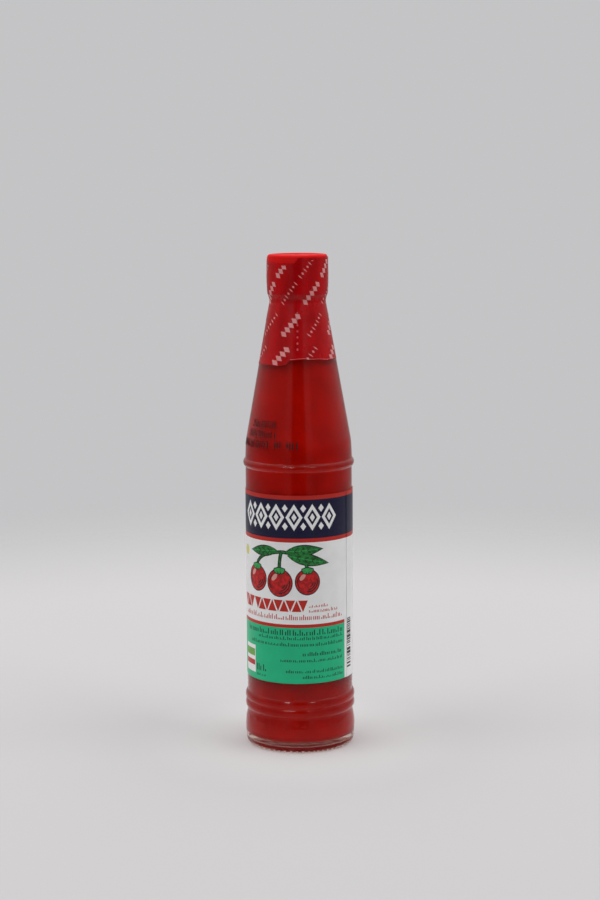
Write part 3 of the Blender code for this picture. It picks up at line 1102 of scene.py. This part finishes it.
def label_surface(angle, height):
    """Radius of the paper at an angle from the front, on top of the lap where it covers the start."""
    return label_radius((angle - LAP[0]) % 360.0 + LAP[0])


def film_surface(angle, height):
    return film_radius(height)


def date_surface(angle, height):
    return cone_radius(height)


class Sheet:
    """Flat shapes in one ink, in millimetres, which are joined and wrapped round the bottle.

    They are drawn with the front panel's middle at 0. A shape on a higher layer covers those on lower ones.
    """

    def __init__(self, radius=LABEL_RADIUS, seed=1, levels=()):
        self.radius = radius
        self.levels = levels
        self.draw = random.Random(seed)
        self.shapes = []
        self.rows = []

    def across(self, angle):
        """Millimetres from the front panel's middle to an angle."""
        return math.radians(angle - FRONT) * self.radius

    def keep(self, obj, layer):
        """Puts a shape on its layer, just clear of the shapes before it."""
        start_clean()
        obj.select_set(True)
        obj.location.y = -(layer + SHAPE_STEP * len(self.shapes)) * INK_STEP * MM
        bpy.ops.object.transform_apply(location=True, rotation=False, scale=False)
        self.shapes.append(obj)

    def outline(self, points, layer=1):
        self.keep(fill_outline(points), layer)

    def block(self, left, low, width, height, layer=1):
        self.keep(add_grid(left, low, width, height, 1, 1), layer)

    def band(self, left, right, low, height, layer=1):
        """A block between two angles."""
        self.block(self.across(left), low, self.across(right) - self.across(left), height, layer)

    def oval(self, place, half, layer=1, turn=0.0, sides=28, rim=0.0):
        """An oval, or a lozenge where it has four sides. With a rim it is open in the middle."""
        start_clean()
        bpy.ops.mesh.primitive_circle_add(vertices=sides, radius=1.0, fill_type="NGON")
        obj = bpy.context.object
        obj.scale = (half[0] * MM, half[1] * MM, 1.0)
        obj.rotation_euler = (STAND_UP, -math.radians(turn), 0.0)
        obj.location = (place[0] * MM, 0.0, place[1] * MM)
        bpy.ops.object.transform_apply(location=True, rotation=True, scale=True)
        if rim:
            bpy.ops.object.mode_set(mode="EDIT")
            bpy.ops.mesh.select_all(action="SELECT")
            bpy.ops.mesh.inset(thickness=rim * MM)
            bpy.ops.mesh.delete(type="FACE")
            bpy.ops.object.mode_set(mode="OBJECT")
        self.keep(obj, layer)

    def ribbon(self, points, width, layer=1):
        """A narrow band along a line of points."""
        left, right = [], []
        for index, point in enumerate(points):
            before, after = points[max(0, index - 1)], points[min(len(points) - 1, index + 1)]
            along = (Vector(after) - Vector(before)).normalized() * width / 2
            left.append((point[0] - along.y, point[1] + along.x))
            right.append((point[0] + along.y, point[1] - along.x))
        self.outline([*right, *reversed(left)], layer)

    def leaf(self, base, tip, half_width, layer=1, steps=9):
        """A pointed leaf between its base and its tip."""
        base, tip = Vector(base), Vector(tip)
        aside = Vector((base.y - tip.y, tip.x - base.x)).normalized() * half_width
        shares = [step / steps for step in range(steps + 1)]
        middle = [base.lerp(tip, share) for share in shares]
        bulge = [math.sin(math.pi * share**0.85) for share in shares]
        under = [tuple(point - aside * out) for point, out in zip(middle, bulge)]
        over = [tuple(point + aside * out) for point, out in zip(middle, bulge)]
        self.outline([*under, *over[-2:0:-1]], layer)

    def row(self, left, right, low, high, mark, layer=1, patterns=BAR_PATTERNS):
        """A row of tiny upright bars of several lengths, in groups that form no characters."""
        start, width = self.across(left), self.across(right) - self.across(left)
        columns, lines = max(2, round(width / mark)), len(patterns[0])
        obj = add_grid(start, low, width, high - low, columns, lines)
        marks = []
        while len(marks) < columns:
            for _ in range(self.draw.choice(MARK_GROUPS)):
                marks += [self.draw.choice(patterns), "." * lines]
            marks.append("." * lines)

        def is_blank(face):
            column = int((face.center.x / MM - start) / width * columns)
            line = int((face.center.z / MM - low) / (high - low) * lines)
            return marks[column][line] == "."

        remove_faces(obj, is_blank)
        if patterns is DOT_PATTERNS:
            bpy.ops.mesh.select_all(action="SELECT")
            bpy.ops.mesh.inset(thickness=0.01 * MM, use_individual=True)
            bpy.ops.mesh.select_all(action="INVERT")
            bpy.ops.mesh.delete(type="FACE")
        bpy.ops.object.mode_set(mode="OBJECT")
        obj.location.y = -layer * INK_STEP * MM
        bpy.ops.object.transform_apply(location=True, rotation=False, scale=False)
        self.rows.append(obj)

    def cut_strips(self, obj):
        """Cuts the wide shapes into narrow upright strips, so that they can follow the curve."""
        places = [vertex.co.x / MM for vertex in obj.data.vertices]
        choose(obj, "faces", lambda face: True)
        for step in range(math.ceil(min(places) / STRIP), math.floor(max(places) / STRIP) + 1):
            cut_across((step * STRIP * MM, 0.0, 0.0), (1.0, 0.0, 0.0))
        for height in self.levels:
            cut_across((0.0, 0.0, height * MM), (0.0, 0.0, 1.0))
        bpy.ops.mesh.select_all(action="SELECT")
        bpy.ops.mesh.quads_convert_to_tris()
        bpy.ops.object.mode_set(mode="OBJECT")

    def wrap(self, name, material, surface=label_surface, slot="ink", is_past=None):
        """Joins the shapes, lays them round the bottle, trims them and gives them the thickness of ink."""
        parts = list(self.rows)
        if self.shapes:
            shapes = join(self.shapes)
            self.cut_strips(shapes)
            parts.append(shapes)
        obj = join(parts)
        for vertex in obj.data.vertices:
            turn = math.radians(FRONT) + vertex.co.x / MM / self.radius
            height = vertex.co.z / MM
            radius = surface(math.degrees(turn), height) - vertex.co.y / MM
            vertex.co = Vector((radius * math.sin(turn), -radius * math.cos(turn), height)) * MM
        if is_past:
            remove_faces(obj, is_past)
        solidify(obj, bpy.context.scene.bottle_sizes.ink * INK_REACH)
        paint(obj, [material])
        finish_piece(obj, name)


class BOTTLE_OT_ornament(bpy.types.Operator):
    """Print the white lozenge ornament on the navy band, and the white box on the green panel"""

    bl_idname = "bottle.ornament"
    bl_label = "Ornament"

    def execute(self, context):
        white, height = Sheet(), ORNAMENT_MIDDLE
        for middle, units in ORNAMENTS:
            start = white.across(middle) - (units - 1) / 2 * ORNAMENT_PITCH
            for unit in range(units):
                centre = start + unit * ORNAMENT_PITCH
                white.oval((centre, height), LOZENGE, sides=4, rim=LOZENGE_RIM)
                white.oval((centre, height), LOZENGE_HEART, sides=4)
                if unit < units - 1:
                    for side in (-1, 1):
                        place = (centre + ORNAMENT_PITCH / 2, height + side * LOZENGE_OFFSET)
                        white.oval(place, LOZENGE_BETWEEN, sides=4)
        white.band(*WHITE_BOX)
        ink = plain_finish("white_ink", context.scene.bottle_colours.paper, 0.4, vary=0.97)
        white.wrap("white_ornament", ink)
        return {"FINISHED"}


class BOTTLE_OT_picture(bpy.types.Operator):
    """Print three round peppers on a leafy twig, with black outlines and hatching"""

    bl_idname = "bottle.picture"
    bl_label = "Picture"

    def execute(self, context):
        colours = context.scene.bottle_colours
        black, red, leaf, calyx, shine = Sheet(), Sheet(), Sheet(), Sheet(), Sheet()
        for x, z, radius in PEPPERS:
            top = (x, z + radius + 0.5)
            stem = curve_between(top, (x * 0.85 + TWIG[0] * 0.15, TWIG[1] - 0.6), TWIG, 7)
            black.ribbon(stem, 1.15)
            leaf.ribbon(stem, 0.5, layer=2)
            tall = radius * PEPPER_TALLNESS
            black.oval((x, z), (radius + PEPPER_OUTLINE, tall + PEPPER_OUTLINE), sides=36)
            red.oval((x, z), (radius, tall), layer=2, sides=36)
            for share, start, end in HATCHES:
                black.ribbon(arc((x, z), radius * share, start, end, 8), 0.3, layer=3)
            spot = (x - radius * 0.42, z + radius * 0.42)
            shine.oval(spot, (radius * 0.17, radius * 0.34), layer=3, turn=-38, sides=14)
            self.crown(black, (x, z + radius * 0.98), 0.3, 4)
            self.crown(calyx, (x, z + radius * 0.98), 0.0, 5)
        for base, tip, half in LEAVES:
            base, tip = Vector(base), Vector(tip)
            black.leaf(base, tip * 1.03 - base * 0.03, half + 0.35)
            leaf.leaf(base, tip, half, layer=2)
            calyx.ribbon([base.lerp(tip, share) for share in (0.08, 0.5, 0.86)], 0.24, layer=3)
            along = (tip - base).normalized()
            for share in (0.25, 0.42, 0.59):
                foot = base.lerp(tip, share)
                for side in (-1, 1):
                    aside = Vector((-along.y, along.x)) * side * half * 0.62
                    black.ribbon([foot, foot + along * 1.1 + aside], 0.2, layer=3)
        black.wrap("black_outlines", plain_finish("black_ink", colours.black, 0.4))
        red.wrap("red_peppers", plain_finish("pepper_ink", colours.pepper, 0.4, vary=0.55, clouds=900.0))
        leaf.wrap("green_leaves", plain_finish("leaf_ink", colours.leaf, 0.4, vary=0.4, clouds=1100.0))
        calyx.wrap("green_crowns", plain_finish("crown_ink", colours.crown, 0.4, vary=0.7, clouds=1100.0))
        shine.wrap("pale_shines", plain_finish("shine_ink", colours.shine, 0.4))
        return {"FINISHED"}

    def crown(self, sheet, place, rim, layer):
        """The green cap of a fruit with its three lobes."""
        x, z = place
        sheet.oval((x, z + 0.25), (1.5 + rim, 0.6 + rim), layer=layer, sides=16)
        for lean in (-1, 0, 1):
            lobe = (0.42 + rim, 0.85 + rim)
            sheet.oval((x + lean * 1.15, z - 0.2), lobe, layer=layer, turn=-35 * lean, sides=12)


class BOTTLE_OT_small_print(bpy.types.Operator):
    """Print the headings, the rows of small marks, the striped box, the level bars and the table"""

    bl_idname = "bottle.small_print"
    bl_label = "Small print"

    def execute(self, context):
        colours = context.scene.bottle_colours
        red, dark, black, yellow, green = Sheet(seed=3), Sheet(seed=4), Sheet(seed=5), Sheet(), Sheet()
        for left, right in FRIEZES:
            self.frieze(red, left, right)
        for row in RED_ROWS:
            red.row(*row)
        for row in DARK_GREEN_ROWS:
            dark.row(*row)
        green.band(*GREEN_STRIPE, layer=2)
        red.band(*RED_STRIPE, layer=2)
        self.ladder(black)
        yellow.oval((yellow.across(YELLOW_SPOT[0]), YELLOW_SPOT[1]), YELLOW_SPOT_SIZE)
        self.fill_back(black)
        red.wrap("red_print", plain_finish("red_ink", colours.red, 0.38))
        dark.wrap("dark_green_print", plain_finish("dark_green_ink", colours.dark_green, 0.4))
        black.wrap("black_print", plain_finish("black_ink", colours.black, 0.4))
        yellow.wrap("yellow_spot", plain_finish("yellow_ink", colours.yellow, 0.4))
        green.wrap("green_stripe", plain_finish("stripe_ink", colours.stripe, 0.4))
        return {"FINISHED"}

    def frieze(self, sheet, left, right):
        """A bold row of triangles that point up and down by turns."""
        low, high = FRIEZE_HEIGHTS
        half, pitch = TRIANGLE
        for index in range(int((sheet.across(right) - sheet.across(left)) / pitch)):
            x = sheet.across(right) - (index + 0.5) * pitch
            foot, tip = (low, high) if index % 2 else (high, low)
            points = [(x - half, foot), (x + half, foot), (x, tip)]
            sheet.outline(points if index % 2 else points[::-1])

    def ladder(self, sheet):
        """Level bars of several thicknesses, one above another, on the lap."""
        left, right, height, high = BARCODE
        while height < high:
            thickness = sheet.draw.choice(BAR_THICKNESSES)
            sheet.band(left, right, height, thickness)
            height += thickness + sheet.draw.choice(BAR_GAPS)

    def fill_back(self, sheet):
        """Paragraphs and a ruled table on the side that the photograph doesn't show."""
        for left, right, low, high in BACK_PARAGRAPHS:
            lines = int((high - low) / LINE_PITCH)
            for line in range(lines):
                top = high - line * LINE_PITCH
                end = right - LAST_LINE_SHORTER if line == lines - 1 else right
                sheet.row(left, end, top - LINE_HEIGHT, top, BACK_MARK)
        left, right, low, high = BACK_TABLE
        lines = int((high - low) / TABLE_ROW)
        for line in range(lines + 1):
            foot = low + line * TABLE_ROW
            sheet.band(left, right, foot, TABLE_RULE)
            if line < lines:
                end = left + sheet.draw.choice(TABLE_ENTRIES)
                for start, stop in ((left + 2, end), (right - 9, right - 2)):
                    sheet.row(start, stop, foot + 1.0, foot + 2.1, BACK_MARK)
        for angle in (left, right - TABLE_LAST_COLUMN, right):
            start = sheet.across(angle) - TABLE_RULE / 2
            sheet.block(start, low, TABLE_RULE, lines * TABLE_ROW + TABLE_RULE, layer=2)


class BOTTLE_OT_film_marks(bpy.types.Operator):
    """Print slanted chains of pale marks on the shrink film, and paint pale highlights along its edge and
    beside its tear holes
    """

    bl_idname = "bottle.film_marks"
    bl_label = "Film marks"

    def execute(self, context):
        colours = context.scene.bottle_colours
        heights = [FILM_LEVELS[0] + step * FILM_LEVELS[1] for step in range(FILM_LEVELS[2])]
        sheet = Sheet(FILM_RADIUS, levels=heights)
        for height, first in FILM_MARK_ROWS:
            for index in range(FILM_MARKS_ROUND):
                angle = turned_away(first + index * 360.0 / FILM_MARKS_ROUND)
                self.chain(sheet, (sheet.across(angle), height), *(THIN_CHAIN if index % 2 else BOLD_CHAIN))
        # Painted highlights along the film's cut edge and beside its tear holes
        edges = Sheet(FILM_RADIUS)
        self.paint_edge_highlight(edges)
        self.paint_tear_highlights(edges)
        pale = plain_finish("pale_film_ink", colours.film_mark, 0.3, vary=0.9)
        painted_highlight = plain_finish("film_painted_highlight", colours.film_highlight, 0.3, vary=0.6)
        for print_sheet, name, ink in ((sheet, "film_marks", pale), (edges, "film_highlight", painted_highlight)):
            print_sheet.wrap(name, ink, film_surface, slot="film", is_past=self.is_past_film)
        return {"FINISHED"}

    def paint_edge_highlight(self, sheet):
        """A painted highlight: the pale line along the film's cut edge, where light catches it."""
        left, right = FILM_EDGE_HIGHLIGHT
        angles = [left + (right - left) * step / FILM_EDGE_STEPS for step in range(FILM_EDGE_STEPS + 1)]
        start, end = FILM_EDGE_LINE
        low = [(sheet.across(angle), film_foot(angle) + start) for angle in angles]
        high = [(sheet.across(angle), film_foot(angle) + end) for angle in reversed(angles)]
        sheet.outline([*low, *high])

    def paint_tear_highlights(self, sheet):
        """Painted highlights: a pale oval beside each hole of the tear lines, where light catches the
        hole's rim.
        """
        for tear in TEAR_ANGLES:
            for step in range(int((TEAR_SPAN[1] - TEAR_SPAN[0]) / TEAR_PITCH)):
                middle = Vector((sheet.across(tear), TEAR_SPAN[0] + (step + 0.5) * TEAR_PITCH))
                sheet.oval(middle, TEAR_HIGHLIGHT, sides=8)

    def chain(self, sheet, middle, reach, pitch, sizes):
        """A slanted chain of lozenges."""
        slant = Vector((math.cos(math.radians(FILM_MARK_SLANT)), math.sin(math.radians(FILM_MARK_SLANT))))
        for step in range(-reach, reach + 1):
            place = Vector(middle) + slant * step * pitch
            sheet.oval(place, sizes[step % 2], turn=FILM_MARK_SLANT, sides=4)

    def is_past_film(self, face):
        """Whether a face would hang past one of the film's rims."""
        angle, height = angle_of(face.center), face.center.z / MM
        return not film_foot(angle) + FILM_MARGINS[0] < height < film_rim(angle) - FILM_MARGINS[1]


class BOTTLE_OT_date_marks(bpy.types.Operator):
    """Print the rows of black dots on the glass below the film"""

    bl_idname = "bottle.date_marks"
    bl_label = "Dotted marks"

    def execute(self, context):
        sheet = Sheet(DATE_RADIUS, seed=9)
        for row in DATE_ROWS:
            sheet.row(*row, DATE_MARK, patterns=DOT_PATTERNS)
        ink = plain_finish("dot_ink", context.scene.bottle_colours.black, 0.6, shine=0.08)
        sheet.wrap("dotted_marks", ink, date_surface)
        return {"FINISHED"}


class BOTTLE_OT_studio(bpy.types.Operator):
    """Set the camera, the pale table and the soft light"""

    bl_idname = "bottle.studio"
    bl_label = "Studio"

    def execute(self, context):
        studio = context.scene.bottle_studio
        self.set_camera(context.scene, studio)
        self.lay_table(studio)
        self.hang_lamps(studio)
        self.light_room(context.scene, studio)
        context.scene.view_settings.view_transform = "Standard"
        return {"FINISHED"}

    def set_camera(self, scene, studio):
        start_clean()
        aim = Matrix.Rotation(STAND_UP - studio.pitch, 4, "X") @ Matrix.Rotation(studio.roll, 4, "Z")
        place = (studio.sideways, -studio.distance, studio.height)
        bpy.ops.object.camera_add(location=place, rotation=aim.to_euler())
        camera = bpy.context.object
        camera.name = "studio_camera"
        camera.data.lens = studio.lens
        camera.data.sensor_width = 36.0
        camera.data.clip_start = 0.01
        scene.camera = camera

    def lay_table(self, studio):
        """A round table top whose edge fades into the backdrop, with painted shade that darkens its front
        and painted light round the bottle's foot.
        """
        start_clean()
        bpy.ops.mesh.primitive_circle_add(vertices=96, radius=TABLE_RADIUS, fill_type="NGON")
        table = bpy.context.object
        table.name = "table"
        material, tree, shader = new_material("pale_table")
        place = add_node(tree, "TexCoord")["Object"]
        depth = add_node(tree, "SeparateXYZ", {"Vector": place})["Y"]
        # Painted shade: darker in front of the bottle than behind it
        back = remap(tree, depth, TABLE_DEPTHS, kind="LINEAR")
        tone = blend(tree, back, *[shade(studio.floor, factor) for factor in TABLE_PAINTED_SHADE_TONES])
        # Painted light: paler round the bottle's foot, where its shadow falls
        far = add_node(tree, "VectorMath", {0: place}, operation="LENGTH")["Value"]
        painted_light = remap(tree, far, TABLE_PAINTED_LIGHT_SPAN, (TABLE_PAINTED_LIGHT, 1.0))
        painted_tone = add_node(tree, "VectorMath", {0: tone, "Scale": painted_light}, operation="SCALE")["Vector"]
        feed(tree, shader, {"Base Color": painted_tone, "Roughness": 0.9, "Specular IOR Level": 0.0})
        feed(tree, shader, {"Alpha": remap(tree, far, TABLE_FADE_SPAN, (1.0, 0.0))})
        table.data.materials.append(material)

    def hang_lamps(self, studio):
        """Two pairs of soft strips: one lights the bottle, and only the gloss shows the other."""
        for side, word in ((-1, "left"), (1, "right")):
            aside, rise, power = side * studio.lamp_aside, studio.lamp_rise, studio.lamp_power
            lamp = self.hang_strip(f"soft_strip_{word}", studio, aside, rise, power, studio.lamp_size)
            lamp.visible_glossy = False
            aside, rise, power = side * studio.glint_aside, studio.glint_rise, studio.glint_power
            glint = self.hang_strip(f"glint_strip_{word}", studio, aside, rise, power, studio.glint_size)
            glint.visible_diffuse = False
            glint.visible_transmission = False

    def hang_strip(self, name, studio, aside, rise, power, size):
        """A soft strip that faces the bottle's middle, at an angle aside and above."""
        start_clean()
        turn, rise = math.radians(aside), math.radians(rise)
        place = Vector((math.sin(turn) * math.cos(rise), -math.cos(turn) * math.cos(rise), math.sin(rise)))
        middle = Vector((0.0, 0.0, TOTAL_HEIGHT * MM / 2))
        aim = place.to_track_quat("Z", "Y").to_euler()
        bpy.ops.object.light_add(type="AREA", location=place * studio.lamp_distance + middle, rotation=aim)
        lamp = bpy.context.object
        lamp.name = name
        lamp.data.shape = "RECTANGLE"
        lamp.data.size, lamp.data.size_y = size
        lamp.data.energy = power
        lamp.visible_camera = False
        return lamp

    def light_room(self, scene, studio):
        """A soft white room, bright above and dark round the camera, on a flat backdrop."""
        world = bpy.data.worlds.new("soft_room")
        world.use_nodes = True
        scene.world = world
        tree = world.node_tree
        parts = add_node(tree, "SeparateXYZ", {"Vector": add_node(tree, "TexCoord")["Generated"]})
        front = add_node(tree, "Math", {0: parts["Y"], 1: -1.0}, operation="MULTIPLY")["Value"]
        turn = add_node(tree, "Math", {0: parts["X"], 1: front}, operation="ARCTAN2")["Value"]
        aside = add_node(tree, "Math", {0: turn}, operation="ABSOLUTE")["Value"]
        share = add_node(tree, "Math", {0: aside, 1: math.pi}, operation="DIVIDE")["Value"]
        level = self.brightness(tree, share, ROOM_SIDES)
        high = self.brightness(tree, share, ROOM_HIGH_SIDES)
        sides = blend(tree, remap(tree, parts["Z"], ROOM_HIGH_SPAN), level, high)
        rise = remap(tree, parts["Z"], (-1.0, 1.0), kind="LINEAR")
        glow = blend(tree, 1.0, sides, self.brightness(tree, rise, ROOM_ABOVE), "MULTIPLY")
        boosted = add_node(tree, "VectorMath", {0: glow, "Scale": ROOM_BOOST}, operation="SCALE")["Vector"]
        room = tree.nodes["Background"]
        feed(tree, room, {"Color": boosted, "Strength": studio.brightness})
        backdrop = add_node(tree, "Background", {"Color": (*studio.backdrop, 1.0)})["Background"]
        seen = add_node(tree, "LightPath")["Is Camera Ray"]
        shaders = {1: room.outputs["Background"], 2: backdrop}
        mix = add_node(tree, "MixShader", {"Fac": seen, **shaders})["Shader"]
        feed(tree, tree.nodes["World Output"], {"Surface": mix})

    def brightness(self, tree, share, stops):
        """The brightness at a share of the way, from (share, brightness) stops."""
        tone = add_node(tree, "ValToRGB", {"Fac": share})["Color"]
        ramp = tone.node.color_ramp
        ramp.interpolation = "EASE"
        ramp.elements[0].position, ramp.elements[1].position = stops[0][0], stops[-1][0]
        for place, _ in stops[1:-1]:
            ramp.elements.new(place)
        for element, (_, value) in zip(ramp.elements, stops):
            element.color = (value, value, value, 1.0)
        return tone


class BOTTLE_PT_panel(bpy.types.Panel):
    """Lists the pieces of the bottle and the studio"""

    bl_label = "Sauce Bottle"
    bl_idname = "BOTTLE_PT_panel"
    bl_space_type = "VIEW_3D"
    bl_region_type = "UI"
    bl_category = "Sauce Bottle"

    def draw(self, context):
        scene = context.scene
        for operator in OPERATORS:
            self.layout.operator(operator.bl_idname)
        for group in (scene.bottle_sizes, scene.bottle_colours, scene.bottle_studio):
            box = self.layout.box()
            for name in group.__annotations__:
                box.prop(group, name)


GROUPS = {"bottle_sizes": BottleSizes, "bottle_colours": BottleColours, "bottle_studio": StudioSettings}
OPERATORS = (
    BOTTLE_OT_studio,
    BOTTLE_OT_glass,
    BOTTLE_OT_sauce,
    BOTTLE_OT_cap,
    BOTTLE_OT_film,
    BOTTLE_OT_label,
    BOTTLE_OT_ornament,
    BOTTLE_OT_picture,
    BOTTLE_OT_small_print,
    BOTTLE_OT_film_marks,
    BOTTLE_OT_date_marks,
)


def register():
    for name, group in GROUPS.items():
        bpy.utils.register_class(group)
        setattr(bpy.types.Scene, name, PointerProperty(type=group))
    for operator in OPERATORS:
        bpy.utils.register_class(operator)
    bpy.utils.register_class(BOTTLE_PT_panel)


def unregister():
    bpy.utils.unregister_class(BOTTLE_PT_panel)
    for operator in reversed(OPERATORS):
        bpy.utils.unregister_class(operator)
    for name, group in GROUPS.items():
        delattr(bpy.types.Scene, name)
        bpy.utils.unregister_class(group)


def main():
    register()
    for operator in OPERATORS:
        family, name = operator.bl_idname.split(".")
        getattr(getattr(bpy.ops, family), name)()
    start_clean()


if __name__ == "__main__":
    main()
